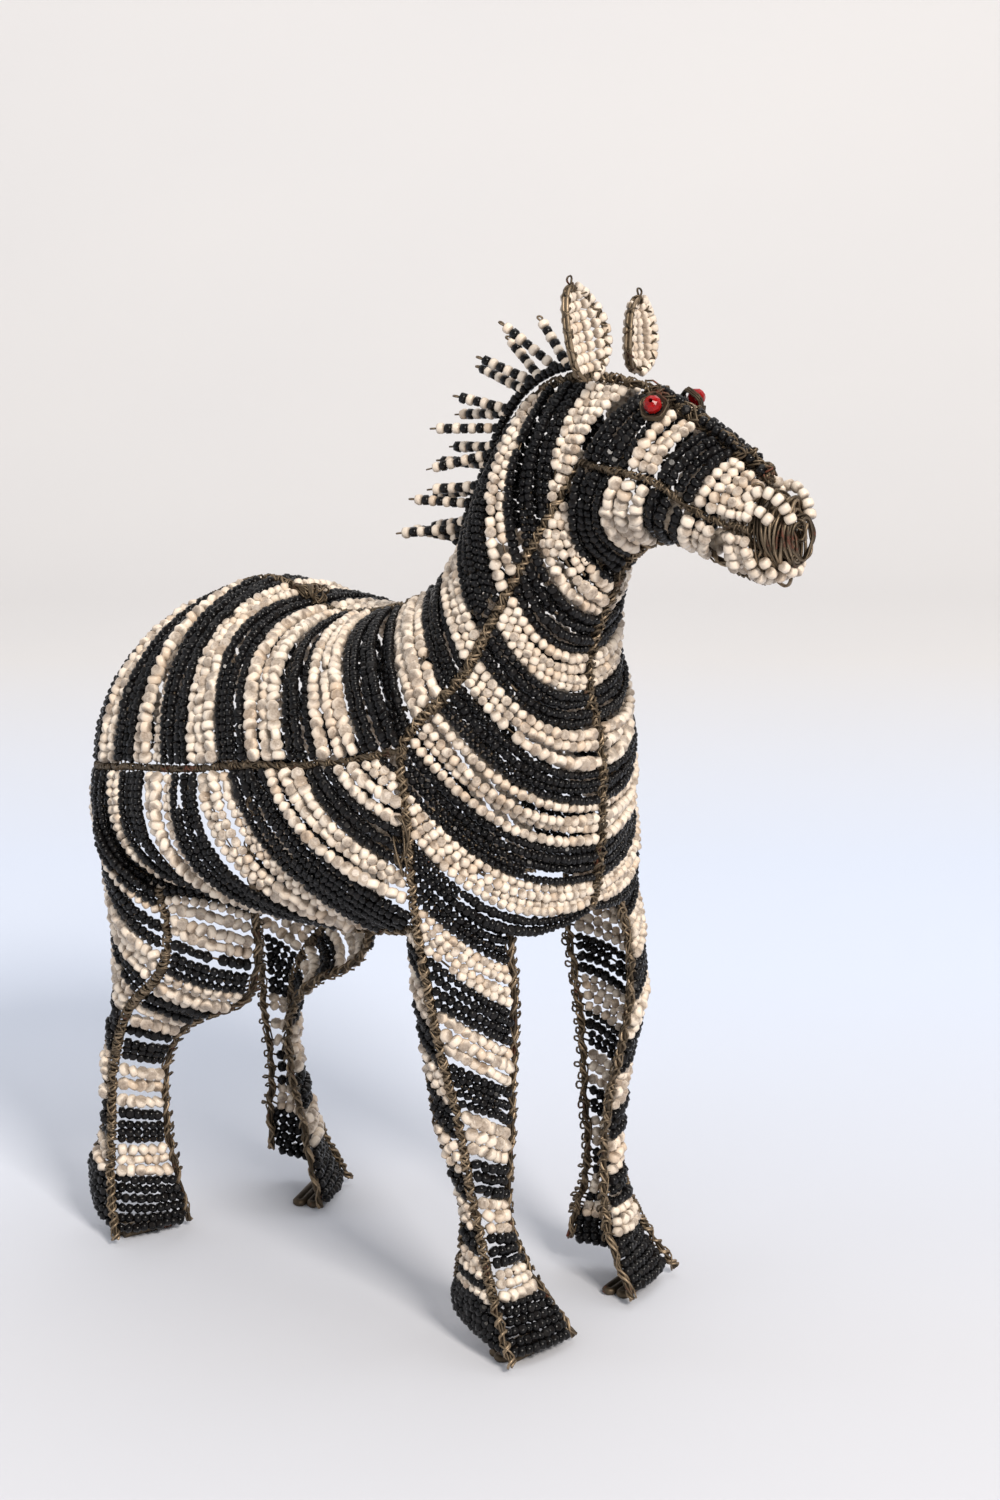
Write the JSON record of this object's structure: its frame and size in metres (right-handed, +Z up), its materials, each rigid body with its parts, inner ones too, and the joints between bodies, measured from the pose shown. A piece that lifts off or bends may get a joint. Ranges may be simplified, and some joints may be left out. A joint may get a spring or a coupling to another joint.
{
  "type": "zebra figurine",
  "caption": "Standing zebra figurine of striped glass beads strung between aged wires, with a quill mane, dished ears and wire-tipped hooves.",
  "frame": {"origin": "centre of the bounding box's footprint, on the plane that the four toes stand on", "axes": "+X towards the head, +Y towards the animal's left side, +Z up"},
  "size_m": [0.2118, 0.1008, 0.2502],
  "materials": {
    "ivory_beads": "worn satin",
    "black_beads": "gloss",
    "aged_wire": "oxidised, with rust spots",
    "red_glass": "gloss"
  },
  "bodies": {
    "root": {"back_panel_left": "ivory_beads", "back_panel_right": "ivory_beads", "belly_wire_left": "aged_wire", "belly_wire_right": "aged_wire", "cheek_wire_left": "aged_wire", "cheek_wire_right": "aged_wire", "chest_panel_left": "ivory_beads", "chest_panel_right": "ivory_beads", "ear_beads_left": "ivory_beads", "ear_beads_right": "ivory_beads", "ear_rim_left": "aged_wire", "ear_rim_right": "aged_wire", "eye_bead_left": "red_glass", "eye_bead_right": "red_glass", "eye_ring_left": "aged_wire", "eye_ring_right": "aged_wire", "face_panel_left": "ivory_beads", "face_panel_right": "ivory_beads", "flank_panel_left": "ivory_beads", "flank_panel_right": "ivory_beads", "flank_wire_left": "aged_wire", "flank_wire_right": "aged_wire", "fore_front_panel_left": "ivory_beads", "fore_front_panel_right": "ivory_beads", "fore_front_wire_left": "aged_wire", "fore_front_wire_right": "aged_wire", "fore_hoof_left": "black_beads", "fore_hoof_right": "black_beads", "fore_rear_wire_left": "aged_wire", "fore_rear_wire_right": "aged_wire", "fore_side_panel_left": "ivory_beads", "fore_side_panel_right": "ivory_beads", "fore_toe_left": "aged_wire", "fore_toe_right": "aged_wire", "hind_front_wire_left": "aged_wire", "hind_front_wire_right": "aged_wire", "hind_hoof_left": "black_beads", "hind_hoof_right": "black_beads", "hind_rear_wire_left": "aged_wire", "hind_rear_wire_right": "aged_wire", "hind_ridge_wire_left": "aged_wire", "hind_ridge_wire_right": "aged_wire", "hind_toe_left": "aged_wire", "hind_toe_right": "aged_wire", "jaw_panel_left": "ivory_beads", "jaw_panel_right": "ivory_beads", "mane": "black_beads", "muzzle_wires": "aged_wire", "neck_panel_left": "ivory_beads", "neck_panel_right": "ivory_beads", "ridge_wire_left": "aged_wire", "ridge_wire_right": "aged_wire", "tail": "black_beads", "thigh_front_panel_left": "ivory_beads", "thigh_front_panel_right": "ivory_beads", "thigh_side_panel_left": "ivory_beads", "thigh_side_panel_right": "ivory_beads", "throat_wire": "aged_wire", "topline_wire": "aged_wire"}
  },
  "joints": []
}
